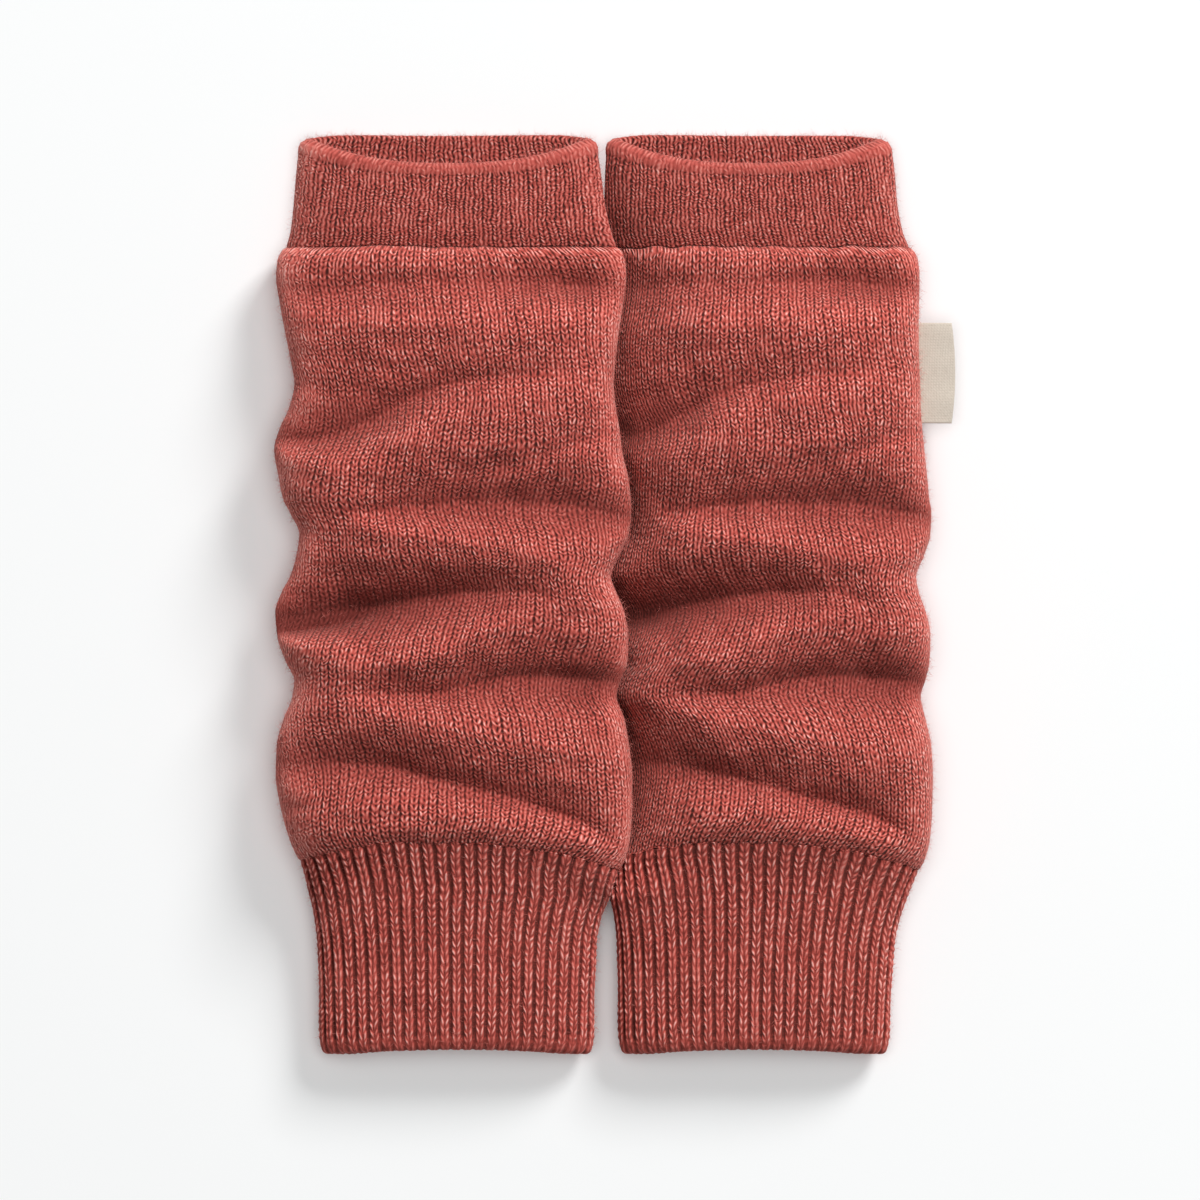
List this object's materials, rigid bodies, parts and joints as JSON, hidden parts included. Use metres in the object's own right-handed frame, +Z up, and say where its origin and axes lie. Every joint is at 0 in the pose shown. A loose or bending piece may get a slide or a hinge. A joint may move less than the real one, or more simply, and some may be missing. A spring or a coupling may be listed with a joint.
{
  "type": "pair of baby leg warmers",
  "caption": "Two knitted footless leg tubes laid flat side by side: plain double top cuff, slouched stocking-stitch body with cross folds, ribbed ankle cuff, folded woven tab.",
  "frame": {"origin": "under the middle of the pair, on the surface it lies on", "axes": "+X to the right across the pair, +Y along the legs towards the top cuffs, +Z up from the surface"},
  "size_m": [0.1832, 0.2474, 0.0268],
  "materials": {
    "wool_plain_knit": "soft fuzzy stocking stitch, coral red",
    "wool_rib_knit": "soft one-by-one rib, coral red",
    "label_tape": "bare cream woven tape"
  },
  "bodies": {
    "root": {"left_top_cuff": "wool_plain_knit", "left_body": "wool_plain_knit", "left_rib_cuff": "wool_rib_knit", "right_top_cuff": "wool_plain_knit", "right_body": "wool_plain_knit", "right_rib_cuff": "wool_rib_knit", "label": "label_tape"}
  },
  "joints": []
}
